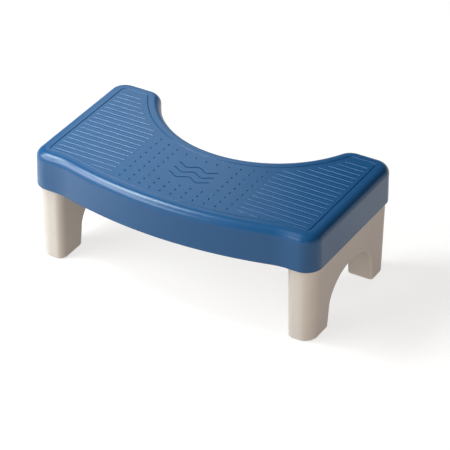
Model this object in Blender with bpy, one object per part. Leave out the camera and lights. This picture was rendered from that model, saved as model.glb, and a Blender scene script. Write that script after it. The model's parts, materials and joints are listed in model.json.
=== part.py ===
"""A toilet footstool: a C-shaped plastic deck on two arched leg frames with rubber foot pads.

Metres, +Z up. The origin is on the floor, under the middle of the footstool. The bulging front
faces -Y, and the notch that goes round the foot of a toilet opens at +Y. Every piece is moulded:
the leg frames plug into the hollow underside of the deck and snap there, and each foot pad is
held by its own stem.
"""

import math

import bmesh
import bpy

# Overall sizes
LENGTH = 0.433
DEPTH = 0.250
DECK_HEIGHT = 0.166
SKIRT_DEPTH = 0.053

# Outline of the deck, seen from above
BULGE_RISE = 0.0235
SWEEP_RADIUS = 0.100
FRONT_STRAIGHT = 0.0126
REAR_STRAIGHT = 0.0304
NOTCH_DEPTH = 0.098
NOTCH_CORNER_RADIUS = 0.026

# Walls of the deck
SKIRT_WALL = 0.0025
DECK_WALL = 0.003
SKIRT_DRAFT = 0.0005
TOP_FILLET = 0.012
GROOVE_MARGIN = 0.0065
GROOVE_CORNER_RADIUS = 0.005
GROOVE_WIDTH = 0.0016
GROOVE_DEPTH = 0.001

# Raised grip ribs at the two ends, with their gaps to the groove
RIB_PITCH = 0.0104
RIB_WIDTH = 0.002
RIB_HEIGHT = 0.0012
RIB_REAR_GAP = 0.016
RIB_END_GAP = 0.0046
RIB_NOTCH_GAP = 0.0085
RIB_FRONT_GAP = 0.005
RIB_DOT_GAP = 0.0124

# Raised grip dots between them, with their gaps to the groove
DOT_COLUMNS = 11
DOT_ROWS = 9
DOT_SPACING = 0.0163
DOT_RADIUS = 0.0018
DOT_TOP_SHARE = 0.6
DOT_HEIGHT = 0.0012
DOT_NOTCH_GAP = 0.0125
DOT_FRONT_GAP = 0.0097

# Engraved waves in the middle, in place of some dots
WAVE_LINES = 3
WAVE_TURNS = 2
WAVE_SPAN = 0.060
WAVE_SPACING = 0.0135
WAVE_SWING = 0.0035
WAVE_LINE_WIDTH = 0.0022
WAVE_DEPTH = 0.0008
CLEARED_COLUMNS = 5
CLEARED_ROWS = (1, 5)

# Stiffening ribs and sockets under the deck
STIFFENER_WALL = 0.002
STIFFENER_DEPTH = 0.025
STIFFENER_PITCH = 0.040
SOCKET_WALL = 0.002
SOCKET_RAISE = 0.006
LOCATOR_WALL = 0.002
LOCATOR_PITCH = 0.060
STOP_PITCH = 0.050
PLUG_CLEARANCE = 0.0004

# Leg frames
LEG_WIDTH = 0.041
LEG_SIDE_INSET = 0.0038
LEG_FRONT_INSET = 0.006
LEG_REAR_INSET = 0.0036
LEG_INNER_CORNER_RADIUS = 0.012
LEG_DRAFT = 0.0018
LEG_WALL = 0.0025
PLUG_HEIGHT = 0.038
PLUG_CHAMFER = 0.001
FLANGE_REACH = 0.0022
FLANGE_HEIGHT = 0.0022
FOOT_CHAMFER = 0.001
FOOT_FLOOR = 0.005
FRONT_FOOT_LENGTH = 0.049
REAR_FOOT_LENGTH = 0.0416
ARCH_SPRING_HEIGHT = 0.027
ARCH_RISE = 0.0426
ARCH_FLARE = 0.0029
ARCH_EDGE_RADIUS = 0.005
WEB_WALL = 0.002
WEB_PITCH = 0.035
WEB_DROP = 0.010

# Snaps between the leg frames and the deck
BARB_WIDTH = 0.012
BARB_HEIGHT = 0.008
BARB_REACH = 0.0018
BARB_RISE = 0.016
BARB_SPACING = 0.110
BARB_CLEARANCE = 0.0006

# Foot pads
PAD_MARGIN = 0.0065
PAD_THICKNESS = 0.003
PAD_PROUD = 0.001
PAD_CORNER_RADIUS = 0.010
PAD_CHAMFER = 0.0005
PAD_CLEARANCE = 0.0003
STEM_RADIUS = 0.0035
STEM_HEAD_RADIUS = 0.0046
STEM_HEAD_HEIGHT = 0.003

# Between faces that touch on the real footstool
FIT_GAP = 0.0003
# How far a cutter runs past what it cuts
CUT_OVERRUN = 0.005

# Segments of the round stretches
BULGE_STEPS = 9
SWEEP_STEPS = 4
CORNER_STEPS = 6
NOTCH_CORNER_STEPS = 5
NOTCH_STEPS = 11
FILLET_STEPS = 6
LEG_CORNER_STEPS = 6
ARCH_STEPS = 20
ARCH_EDGE_STEPS = 3
DOT_SIDES = 8
RIB_END_STEPS = 4
WAVE_STEPS = 32

# Places that follow from the sizes
FRONT_Y = -DEPTH / 2
REAR_Y = DEPTH / 2
END_FRONT_Y = FRONT_Y + BULGE_RISE
SIDE_X = LENGTH / 2
GROOVE_INSET = SKIRT_DRAFT + TOP_FILLET + GROOVE_MARGIN
CORNER_RADIUS = GROOVE_INSET + GROOVE_CORNER_RADIUS
SWEEP_X = SIDE_X - CORNER_RADIUS - FRONT_STRAIGHT
ARM_X = SIDE_X - CORNER_RADIUS - REAR_STRAIGHT
BULGE_RADIUS = (SWEEP_X**2 / BULGE_RISE + BULGE_RISE) / 2 - SWEEP_RADIUS
NOTCH_RADIUS = (ARM_X**2 / NOTCH_DEPTH + NOTCH_DEPTH) / 2 - NOTCH_CORNER_RADIUS
BULGE_CENTRE_Y = FRONT_Y + BULGE_RADIUS
NOTCH_CENTRE_Y = REAR_Y - NOTCH_DEPTH + NOTCH_RADIUS
SKIRT_Z = DECK_HEIGHT - SKIRT_DEPTH
LEG_OUTER_X = SIDE_X - LEG_SIDE_INSET
LEG_INNER_X = LEG_OUTER_X - LEG_WIDTH
LEG_FRONT_Y = END_FRONT_Y + LEG_FRONT_INSET
LEG_REAR_Y = REAR_Y - LEG_REAR_INSET
LEG_OUTER_CORNER_RADIUS = CORNER_RADIUS - LEG_SIDE_INSET
LEG_TOP_Z = SKIRT_Z + PLUG_HEIGHT
FLANGE_TOP_Z = SKIRT_Z - FIT_GAP
SOCKET_INNER_X = LEG_INNER_X - PLUG_CLEARANCE
SOCKET_OUTER_X = LEG_OUTER_X + PLUG_CLEARANCE
BARB_Z = SKIRT_Z + BARB_RISE
PAD_POCKET_Z = PAD_THICKNESS + FIT_GAP
FOOT_TOP_Z = PAD_PROUD + FOOT_FLOOR
FOOT_FRONT_Y = LEG_FRONT_Y + LEG_DRAFT
FOOT_REAR_Y = LEG_REAR_Y - LEG_DRAFT
ARCH_FRONT_Y = FOOT_FRONT_Y + FRONT_FOOT_LENGTH
ARCH_REAR_Y = FOOT_REAR_Y - REAR_FOOT_LENGTH
ARCH_Y = (ARCH_FRONT_Y + ARCH_REAR_Y) / 2
SNAP_Y = (LEG_FRONT_Y + LEG_REAR_Y) / 2


def clear_scene():
    for obj in list(bpy.data.objects):
        bpy.data.objects.remove(obj, do_unlink=True)


def plastic(name, colour, roughness):
    """A non-metallic Principled material."""
    material = bpy.data.materials.new(name)
    material.use_nodes = True
    shader = material.node_tree.nodes["Principled BSDF"]
    shader.inputs["Base Color"].default_value = (*colour, 1.0)
    shader.inputs["Roughness"].default_value = roughness
    shader.inputs["Metallic"].default_value = 0.0
    material.diffuse_color = (*colour, 1.0)
    return material


def linked_object(name, bm, material=None):
    """A scene object from a bmesh, with its faces turned outwards."""
    bmesh.ops.recalc_face_normals(bm, faces=bm.faces)
    mesh = bpy.data.meshes.new(name)
    bm.to_mesh(mesh)
    bm.free()
    obj = bpy.data.objects.new(name, mesh)
    bpy.context.scene.collection.objects.link(obj)
    if material:
        mesh.materials.append(material)
    return obj


def add_loft(bm, rings):
    """A closed solid through rings of the same number of points, with its two ends filled."""
    loops = [[bm.verts.new(point) for point in ring] for ring in rings]
    for lower, upper in zip(loops, loops[1:]):
        count = len(lower)
        for i in range(count):
            j = (i + 1) % count
            bm.faces.new((lower[i], lower[j], upper[j], upper[i]))
    bm.faces.new(loops[0])
    bm.faces.new(loops[-1])


def add_box(bm, low, high):
    """An upright box between two corners."""
    outline = ((low[0], low[1]), (high[0], low[1]), (high[0], high[1]), (low[0], high[1]))
    add_loft(bm, [[(x, y, z) for x, y in outline] for z in (low[2], high[2])])


def helper(name, bm):
    """A cutter or a guide, which isn't part of the footstool."""
    obj = linked_object(name, bm)
    obj.hide_render = True
    obj.display_type = "WIRE"
    return obj


def boolean(obj, other, operation):
    modifier = obj.modifiers.new(f"{operation.lower()}_{other.name}", "BOOLEAN")
    modifier.operation = operation
    modifier.solver = "EXACT"
    modifier.object = other


def smooth(obj):
    obj.data.shade_smooth()
    obj.data.set_sharp_from_angle(angle=math.radians(30))


def arc(centre, radius, start, end, steps):
    """Points along an arc, both ends included, with angles in radians."""
    turns = [start + (end - start) * i / steps for i in range(steps + 1)]
    return [(centre[0] + radius * math.cos(t), centre[1] + radius * math.sin(t)) for t in turns]


def deck_outline(inset):
    """The deck's plan, moved in by a distance: arcs about fixed centres, joined by straights."""
    quarter = math.pi / 2
    lean = math.asin(SWEEP_X / (BULGE_RADIUS + SWEEP_RADIUS))
    sweep_y = END_FRONT_Y - SWEEP_RADIUS
    corner_x = SIDE_X - CORNER_RADIUS
    arm_y = REAR_Y - NOTCH_CORNER_RADIUS
    wrap = math.atan2(NOTCH_CENTRE_Y - arm_y, -ARM_X)
    convex = CORNER_RADIUS - inset
    half = arc((0, BULGE_CENTRE_Y), BULGE_RADIUS - inset, -quarter, lean - quarter, BULGE_STEPS)
    half += arc((SWEEP_X, sweep_y), SWEEP_RADIUS + inset, quarter + lean, quarter, SWEEP_STEPS)[1:]
    half += arc((corner_x, END_FRONT_Y + CORNER_RADIUS), convex, -quarter, 0, CORNER_STEPS)
    half += arc((corner_x, REAR_Y - CORNER_RADIUS), convex, 0, quarter, CORNER_STEPS)
    half += arc((ARM_X, arm_y), NOTCH_CORNER_RADIUS - inset, quarter, wrap, NOTCH_CORNER_STEPS)
    half += arc((0, NOTCH_CENTRE_Y), NOTCH_RADIUS + inset, wrap - math.pi, -quarter, NOTCH_STEPS)[1:]
    return half + [(-x, y) for x, y in reversed(half[1:-1])]


def deck_ring(inset, z):
    return [(x, y, z) for x, y in deck_outline(inset)]


def deck_skin(side_wall, top_wall, lowest):
    """Rings of the deck's surface, or of one inside it by the two wall thicknesses."""
    fillet_z = DECK_HEIGHT - TOP_FILLET
    rings = [deck_ring(side_wall, lowest)]
    for i in range(FILLET_STEPS + 1):
        turn = math.pi / 2 * i / FILLET_STEPS
        inset = SKIRT_DRAFT + TOP_FILLET - (TOP_FILLET - side_wall) * math.cos(turn)
        rings.append(deck_ring(inset, fillet_z + (TOP_FILLET - top_wall) * math.sin(turn)))
    return rings


def groove_rings():
    """The thin groove that runs round the deck's flat top."""
    outer = GROOVE_INSET - GROOVE_WIDTH / 2
    inner = GROOVE_INSET + GROOVE_WIDTH / 2
    floor_z = DECK_HEIGHT - GROOVE_DEPTH
    return [
        deck_ring(outer, DECK_HEIGHT),
        deck_ring(outer, floor_z),
        deck_ring(inner, floor_z),
        deck_ring(inner, DECK_HEIGHT),
    ]


def notch_edge_y(x, gap):
    """How far back a place at x may lie that keeps a gap to the groove along the notch."""
    return NOTCH_CENTRE_Y - math.sqrt((NOTCH_RADIUS + GROOVE_INSET + gap) ** 2 - x**2)


def front_edge_y(x, gap):
    """How far forward a place at x may lie that keeps a gap to the groove along the front."""
    return BULGE_CENTRE_Y - math.sqrt((BULGE_RADIUS - GROOVE_INSET - gap) ** 2 - x**2)


def rib_spans():
    """Each grip rib on the +X side, rear one first, as (y, inner end, outer end)."""
    dots_x = DOT_SPACING * (DOT_COLUMNS - 1) / 2
    outer_x = SIDE_X - GROOVE_INSET - RIB_END_GAP
    notch_radius = NOTCH_RADIUS + GROOVE_INSET + RIB_NOTCH_GAP
    bulge_radius = BULGE_RADIUS - GROOVE_INSET - RIB_FRONT_GAP
    y = REAR_Y - GROOVE_INSET - RIB_REAR_GAP
    spans = []
    while y > front_edge_y(0, RIB_FRONT_GAP):
        inner = dots_x + RIB_DOT_GAP
        from_notch = notch_radius**2 - (NOTCH_CENTRE_Y - y) ** 2
        if from_notch > inner**2:
            inner = math.sqrt(from_notch)
        outer = outer_x
        if y < END_FRONT_Y + GROOVE_INSET + RIB_FRONT_GAP:
            from_front = bulge_radius**2 - (BULGE_CENTRE_Y - y) ** 2
            outer = min(outer_x, math.sqrt(max(from_front, 0)))
        if outer - inner > RIB_PITCH:
            spans.append((y, inner, outer))
        y -= RIB_PITCH
    return spans


def dot_places():
    """The grip dots, spread evenly from the notch to the front in each column."""
    middle = DOT_COLUMNS // 2
    for column in range(DOT_COLUMNS):
        x = (column - middle) * DOT_SPACING
        back = notch_edge_y(x, DOT_NOTCH_GAP)
        front = front_edge_y(x, DOT_FRONT_GAP)
        for row in range(DOT_ROWS):
            near = abs(column - middle) <= CLEARED_COLUMNS // 2
            if near and CLEARED_ROWS[0] <= row <= CLEARED_ROWS[1]:
                continue
            yield x, back + (front - back) * row / (DOT_ROWS - 1)


def add_bar(bm, start, end, y, low, high):
    """A low bar along X with round ends."""
    radius = RIB_WIDTH / 2
    left = min(start, end) + radius
    right = max(start, end) - radius
    quarter = math.pi / 2
    outline = arc((right, y), radius, -quarter, quarter, RIB_END_STEPS)
    outline += arc((left, y), radius, quarter, 3 * quarter, RIB_END_STEPS)
    add_loft(bm, [[(px, py, z) for px, py in outline] for z in (low, high)])


def add_dot(bm, x, y, low, high):
    """A low round dot, narrower at its top."""
    rings = []
    for z, share in ((low, 1.0), (DECK_HEIGHT, 1.0), (high, DOT_TOP_SHARE)):
        outline = arc((x, y), DOT_RADIUS * share, 0, math.tau, DOT_SIDES)[:-1]
        rings.append([(px, py, z) for px, py in outline])
    add_loft(bm, rings)


def grip_pattern():
    """Ribs and dots, rooted half way down the deck's wall."""
    bm = bmesh.new()
    root = DECK_HEIGHT - DECK_WALL / 2
    for y, inner, outer in rib_spans():
        for side in (-1, 1):
            add_bar(bm, side * inner, side * outer, y, root, DECK_HEIGHT + RIB_HEIGHT)
    for x, y in dot_places():
        add_dot(bm, x, y, root, DECK_HEIGHT + DOT_HEIGHT)
    return helper("grip_pattern", bm)


def wave_cutter():
    """The engraved waves, one above the other in the middle of the cleared rows."""
    bm = bmesh.new()
    middle_row = (CLEARED_ROWS[0] + CLEARED_ROWS[1]) / 2
    back = notch_edge_y(0, DOT_NOTCH_GAP)
    front = front_edge_y(0, DOT_FRONT_GAP)
    middle_y = back + (front - back) * middle_row / (DOT_ROWS - 1)
    for line in range(WAVE_LINES):
        line_y = middle_y + (line - (WAVE_LINES - 1) / 2) * WAVE_SPACING
        near, far = [], []
        for i in range(WAVE_STEPS + 1):
            share = i / WAVE_STEPS - 1 / 2
            phase = math.tau * WAVE_TURNS * share
            x = share * WAVE_SPAN
            y = line_y + WAVE_SWING * math.cos(phase)
            slope = -math.atan(WAVE_SWING * math.tau * WAVE_TURNS * math.sin(phase) / WAVE_SPAN)
            across = WAVE_LINE_WIDTH / 2
            near.append((x + across * math.sin(slope), y - across * math.cos(slope)))
            far.append((x - across * math.sin(slope), y + across * math.cos(slope)))
        outline = near + far[::-1]
        heights = (DECK_HEIGHT - WAVE_DEPTH, DECK_HEIGHT + CUT_OVERRUN)
        add_loft(bm, [[(x, y, z) for x, y in outline] for z in heights])
    return helper("wave_cutter", bm)


def rib_bound():
    """The space under the deck, half way into its walls, which the ribs below are kept to."""
    bm = bmesh.new()
    add_loft(bm, deck_skin(SKIRT_WALL / 2, DECK_WALL / 2, SKIRT_Z + SOCKET_RAISE))
    return helper("rib_bound", bm)


def evenly(low, high, pitch):
    """Places between two limits, a pitch apart or less, with as much room left at each end."""
    count = max(1, math.ceil((high - low) / pitch) - 1)
    return [low + (high - low) * (i + 1) / (count + 1) for i in range(count)]


def cross_ribs(bound):
    """Ribs along Y under the deck: stiffeners, the sockets' inner walls and their end locators."""
    bm = bmesh.new()
    socket_x = SOCKET_INNER_X - SOCKET_WALL / 2
    low_z = DECK_HEIGHT - STIFFENER_DEPTH
    front, rear = FRONT_Y - CUT_OVERRUN, REAR_Y + CUT_OVERRUN
    top = DECK_HEIGHT + CUT_OVERRUN
    for x in evenly(-socket_x, socket_x, STIFFENER_PITCH):
        half = STIFFENER_WALL / 2
        add_box(bm, (x - half, front, low_z), (x + half, rear, top))
    for side in (-1, 1):
        x = side * socket_x
        half = SOCKET_WALL / 2
        add_box(bm, (x - half, front, SKIRT_Z), (x + half, rear, top))
        inner = LEG_INNER_X + LEG_INNER_CORNER_RADIUS
        outer = LEG_OUTER_X - LEG_OUTER_CORNER_RADIUS
        for locator_x in (inner, outer):
            x = side * locator_x
            half = LOCATOR_WALL / 2
            add_box(bm, (x - half, front, SKIRT_Z), (x + half, LEG_FRONT_Y - PLUG_CLEARANCE, top))
            add_box(bm, (x - half, LEG_REAR_Y + PLUG_CLEARANCE, SKIRT_Z), (x + half, rear, top))
    ribs = helper("cross_ribs", bm)
    boolean(ribs, bound, "INTERSECT")
    return ribs


def long_ribs(bound):
    """Ribs along X under the deck: stiffeners, the plugs' stops and their side locators."""
    bm = bmesh.new()
    socket_x = SOCKET_INNER_X - SOCKET_WALL / 2
    outside = SIDE_X + CUT_OVERRUN
    top = DECK_HEIGHT + CUT_OVERRUN
    notch_y = REAR_Y - NOTCH_DEPTH
    for y in evenly(FRONT_Y, notch_y, STIFFENER_PITCH):
        half = STIFFENER_WALL / 2
        low_z = DECK_HEIGHT - STIFFENER_DEPTH
        add_box(bm, (-socket_x, y - half, low_z), (socket_x, y + half, top))
    for side in (-1, 1):
        near, far = sorted((side * socket_x, side * outside))
        for y in evenly(LEG_FRONT_Y, LEG_REAR_Y, STOP_PITCH):
            half = STIFFENER_WALL / 2
            add_box(bm, (near, y - half, LEG_TOP_Z + FIT_GAP), (far, y + half, top))
        near, far = sorted((side * SOCKET_OUTER_X, side * outside))
        for y in evenly(LEG_FRONT_Y, LEG_REAR_Y, LOCATOR_PITCH):
            half = LOCATOR_WALL / 2
            shifted = y + STIFFENER_WALL + LOCATOR_WALL
            add_box(bm, (near, shifted - half, SKIRT_Z), (far, shifted + half, top))
    ribs = helper("long_ribs", bm)
    boolean(ribs, bound, "INTERSECT")
    return ribs


def snap_places():
    return [SNAP_Y - BARB_SPACING / 2, SNAP_Y + BARB_SPACING / 2]


def snap_windows():
    """Holes in the sockets' inner walls that the barbs click into."""
    bm = bmesh.new()
    low_z = BARB_Z - BARB_CLEARANCE
    high_z = BARB_Z + BARB_HEIGHT + BARB_CLEARANCE
    half = BARB_WIDTH / 2 + BARB_CLEARANCE
    for side in (-1, 1):
        near, far = sorted((side * LEG_INNER_X, side * (SOCKET_INNER_X - 2 * SOCKET_WALL)))
        for y in snap_places():
            add_box(bm, (near, y - half, low_z), (far, y + half, high_z))
    return helper("snap_windows", bm)


def top_deck(material):
    """The C-shaped deck: one hollow moulding with its skirt, grip pattern, ribs and sockets."""
    bm = bmesh.new()
    add_loft(bm, deck_skin(0, 0, SKIRT_Z) + groove_rings())
    deck = linked_object("top_deck", bm, material)
    bm = bmesh.new()
    cavity_rings = deck_skin(SKIRT_WALL, DECK_WALL, SKIRT_Z)
    below = [(x, y, z - CUT_OVERRUN) for x, y, z in cavity_rings[0]]
    add_loft(bm, [below] + cavity_rings[1:])
    boolean(deck, helper("deck_cavity", bm), "DIFFERENCE")
    bound = rib_bound()
    boolean(deck, cross_ribs(bound), "UNION")
    boolean(deck, long_ribs(bound), "UNION")
    boolean(deck, snap_windows(), "DIFFERENCE")
    boolean(deck, grip_pattern(), "UNION")
    boolean(deck, wave_cutter(), "DIFFERENCE")
    smooth(deck)
    return deck


def leg_ring(side, inset, z):
    """A leg frame's plan at one height: a rectangle with wider corners on its outer side."""
    quarter = math.pi / 2
    steps = LEG_CORNER_STEPS
    low_x, high_x = LEG_INNER_X + inset, LEG_OUTER_X - inset
    low_y, high_y = LEG_FRONT_Y + inset, LEG_REAR_Y - inset
    outer = LEG_OUTER_CORNER_RADIUS - inset
    inner = LEG_INNER_CORNER_RADIUS - inset
    outline = arc((high_x - outer, low_y + outer), outer, -quarter, 0, steps)
    outline += arc((high_x - outer, high_y - outer), outer, 0, quarter, steps)
    outline += arc((low_x + inner, high_y - inner), inner, quarter, 2 * quarter, steps)
    outline += arc((low_x + inner, low_y + inner), inner, 2 * quarter, 3 * quarter, steps)
    return [(side * x, y, z) for x, y in outline]


def draft_at(z):
    """How much narrower a leg frame is on each side at a height below the skirt."""
    return LEG_DRAFT * max(0, SKIRT_Z - z) / SKIRT_Z


def arch_outline(grow):
    """The arch in the YZ plane, grown by a distance: upright sides, then half an ellipse."""
    half_floor = (ARCH_REAR_Y - ARCH_FRONT_Y) / 2 + grow
    half_spring = half_floor - ARCH_FLARE
    rise = ARCH_RISE + grow
    points = [(ARCH_Y + half_floor, -CUT_OVERRUN)]
    for i in range(ARCH_STEPS + 1):
        turn = math.pi * i / ARCH_STEPS
        points.append(
            (ARCH_Y + half_spring * math.cos(turn), ARCH_SPRING_HEIGHT + rise * math.sin(turn))
        )
    points.append((ARCH_Y - half_floor, -CUT_OVERRUN))
    return points


def arch_prism(name, side, grow):
    """A plain arch that runs right through a leg frame along X."""
    bm = bmesh.new()
    ends = (LEG_INNER_X - CUT_OVERRUN, LEG_OUTER_X + CUT_OVERRUN)
    add_loft(bm, [[(side * x, y, z) for y, z in arch_outline(grow)] for x in ends])
    return helper(name, bm)


def arch_cutter(side):
    """The arch with its rims flared, which leaves a rounded edge on both faces of a leg frame.

    The rim's first chord runs on past the face, so that no corner of the cutter lies on it.
    """
    radius = ARCH_EDGE_RADIUS
    rim = []
    for i in range(1, ARCH_EDGE_STEPS + 1):
        turn = math.pi / 2 * i / ARCH_EDGE_STEPS
        rim.append((radius * (1 - math.cos(turn)), radius * (1 - math.sin(turn))))
    flare = radius + (radius - rim[0][1]) * FIT_GAP / rim[0][0]
    sections = [(-CUT_OVERRUN, flare), (-FIT_GAP, flare)] + rim
    rings = []
    for depth, grow in sections:
        rings.append([(LEG_INNER_X + draft_at(z) + depth, y, z) for y, z in arch_outline(grow)])
    for depth, grow in reversed(sections):
        rings.append([(LEG_OUTER_X - draft_at(z) - depth, y, z) for y, z in arch_outline(grow)])
    bm = bmesh.new()
    add_loft(bm, [[(side * x, y, z) for x, y, z in ring] for ring in rings])
    return helper(f"arch_cutter_{side_name(side)}", bm)


def leg_cavity(side):
    """The hollow of a leg frame, open at its top, round the wall of the arch."""
    bm = bmesh.new()
    levels = (FOOT_TOP_Z, SKIRT_Z, LEG_TOP_Z + CUT_OVERRUN)
    add_loft(bm, [leg_ring(side, LEG_WALL + draft_at(z), z) for z in levels])
    cavity = helper(f"leg_cavity_{side_name(side)}", bm)
    boolean(cavity, arch_prism(f"arch_wall_{side_name(side)}", side, LEG_WALL), "DIFFERENCE")
    return cavity


def leg_webs(side):
    """Cross webs inside a leg frame, from the arch's spring up, kept half way into its walls."""
    name = side_name(side)
    half_wall = LEG_WALL / 2
    bm = bmesh.new()
    levels = (ARCH_SPRING_HEIGHT, SKIRT_Z, LEG_TOP_Z)
    add_loft(bm, [leg_ring(side, half_wall + draft_at(z), z) for z in levels])
    bound = helper(f"web_bound_{name}", bm)
    boolean(bound, arch_prism(f"web_arch_{name}", side, half_wall), "DIFFERENCE")
    bm = bmesh.new()
    near, far = sorted((side * (LEG_INNER_X - CUT_OVERRUN), side * (LEG_OUTER_X + CUT_OVERRUN)))
    for y in evenly(LEG_FRONT_Y, LEG_REAR_Y, WEB_PITCH):
        half = WEB_WALL / 2
        add_box(bm, (near, y - half, 0), (far, y + half, LEG_TOP_Z - WEB_DROP))
    webs = helper(f"leg_webs_{name}", bm)
    boolean(webs, bound, "INTERSECT")
    return webs


def snap_barbs(side):
    """Wedges on a plug's inner face: a ramp on top to go in, and a flat step below to hold."""
    bm = bmesh.new()
    root = LEG_INNER_X + LEG_WALL / 2
    tip = LEG_INNER_X - BARB_REACH
    for y in snap_places():
        rings = []
        for end in (y - BARB_WIDTH / 2, y + BARB_WIDTH / 2):
            profile = (
                (root, BARB_Z),
                (tip, BARB_Z),
                (tip, BARB_Z + BARB_HEIGHT / 4),
                (LEG_INNER_X, BARB_Z + BARB_HEIGHT),
                (root, BARB_Z + BARB_HEIGHT),
            )
            rings.append([(side * x, end, z) for x, z in profile])
        add_loft(bm, rings)
    return helper(f"snap_barbs_{side_name(side)}", bm)


def side_name(side):
    return "right" if side > 0 else "left"


def foot_spans():
    """Each foot's name with its front and rear ends, which its pad keeps a margin to."""
    return (
        ("front", FOOT_FRONT_Y + PAD_MARGIN, ARCH_FRONT_Y - PAD_MARGIN),
        ("rear", ARCH_REAR_Y + PAD_MARGIN, FOOT_REAR_Y - PAD_MARGIN),
    )


def pad_ring(side, span, grow, z):
    """A foot pad's plan, grown by a distance."""
    low_x = LEG_INNER_X + LEG_DRAFT + PAD_MARGIN - grow
    high_x = LEG_OUTER_X - LEG_DRAFT - PAD_MARGIN + grow
    low_y, high_y = span[0] - grow, span[1] + grow
    radius = PAD_CORNER_RADIUS + grow
    steps = LEG_CORNER_STEPS - 1
    quarter = math.pi / 2
    outline = arc((high_x - radius, high_y - radius), radius, 0, quarter, steps)
    outline += arc((low_x + radius, high_y - radius), radius, quarter, 2 * quarter, steps)
    outline += arc((low_x + radius, low_y + radius), radius, 2 * quarter, 3 * quarter, steps)
    outline += arc((high_x - radius, low_y + radius), radius, 3 * quarter, 4 * quarter, steps)
    return [(side * x, y, z) for x, y in outline]


def stem_ring(side, span, radius, z):
    """A circle about the middle of a foot pad, with as many points as the pad's plan."""
    centre = ((LEG_INNER_X + LEG_OUTER_X) / 2, (span[0] + span[1]) / 2)
    count = 4 * LEG_CORNER_STEPS
    outline = arc(centre, radius, 0, math.tau, count)[:-1]
    return [(side * x, y, z) for x, y in outline]


def pad_pocket(side, foot, span):
    """The recess under a foot and the hole through its floor for the pad's stem."""
    bm = bmesh.new()
    hole = STEM_RADIUS + PAD_CLEARANCE
    rings = [pad_ring(side, span, PAD_CLEARANCE, z) for z in (-CUT_OVERRUN, PAD_POCKET_Z)]
    rings += [stem_ring(side, span, hole, z) for z in (PAD_POCKET_Z, FOOT_TOP_Z + CUT_OVERRUN)]
    add_loft(bm, rings)
    return helper(f"pad_pocket_{foot}_{side_name(side)}", bm)


def foot_pad(side, foot, span, material):
    """A rubber pad with the mushroom stem that holds it in the foot."""
    bm = bmesh.new()
    head_z = FOOT_TOP_Z + FIT_GAP
    rings = [
        pad_ring(side, span, -PAD_CHAMFER, 0),
        pad_ring(side, span, 0, PAD_CHAMFER),
        pad_ring(side, span, 0, PAD_THICKNESS),
        stem_ring(side, span, STEM_RADIUS, PAD_THICKNESS),
        stem_ring(side, span, STEM_RADIUS, head_z),
        stem_ring(side, span, STEM_HEAD_RADIUS, head_z),
        stem_ring(side, span, STEM_RADIUS, head_z + STEM_HEAD_HEIGHT),
    ]
    add_loft(bm, rings)
    pad = linked_object(f"foot_pad_{foot}_{side_name(side)}", bm, material)
    smooth(pad)
    return pad


def leg_frame(side, material):
    """One end's legs: an arched, hollow moulding whose open top plugs into the deck."""
    levels = (
        (PAD_PROUD, FOOT_CHAMFER),
        (PAD_PROUD + FOOT_CHAMFER, 0),
        (FLANGE_TOP_Z - FLANGE_HEIGHT, 0),
        (FLANGE_TOP_Z - FLANGE_HEIGHT, -FLANGE_REACH),
        (FLANGE_TOP_Z, -FLANGE_REACH),
        (FLANGE_TOP_Z, 0),
        (LEG_TOP_Z - PLUG_CHAMFER, 0),
        (LEG_TOP_Z, PLUG_CHAMFER),
    )
    bm = bmesh.new()
    add_loft(bm, [leg_ring(side, draft_at(z) + inset, z) for z, inset in levels])
    frame = linked_object(f"leg_frame_{side_name(side)}", bm, material)
    boolean(frame, arch_cutter(side), "DIFFERENCE")
    boolean(frame, leg_cavity(side), "DIFFERENCE")
    boolean(frame, leg_webs(side), "UNION")
    boolean(frame, snap_barbs(side), "UNION")
    for foot, *span in foot_spans():
        boolean(frame, pad_pocket(side, foot, span), "DIFFERENCE")
    smooth(frame)
    return frame


def main():
    clear_scene()
    blue = plastic("blue polypropylene", (0.045, 0.145, 0.330), 0.35)
    cream = plastic("cream polypropylene", (0.690, 0.620, 0.545), 0.40)
    rubber = plastic("grey rubber", (0.300, 0.290, 0.280), 0.85)
    top_deck(blue)
    for side in (-1, 1):
        leg_frame(side, cream)
        for foot, *span in foot_spans():
            foot_pad(side, foot, span, rubber)


main()
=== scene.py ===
"""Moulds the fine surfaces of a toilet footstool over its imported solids, and lights them in a studio.

Metres, +Z up, in the frame of the solids: the floor is z 0, the bulging front faces -Y, and the notch
for the toilet's foot opens at +Y. Each piece is one moulding, as on the real footstool: the blue deck
with its grip pattern, two cream leg frames, and four rubber soles.
"""

import json
import math
from types import SimpleNamespace

import bmesh
import bpy
from bpy.props import FloatProperty, FloatVectorProperty, IntProperty, PointerProperty
from mathutils import Matrix, Vector

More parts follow.
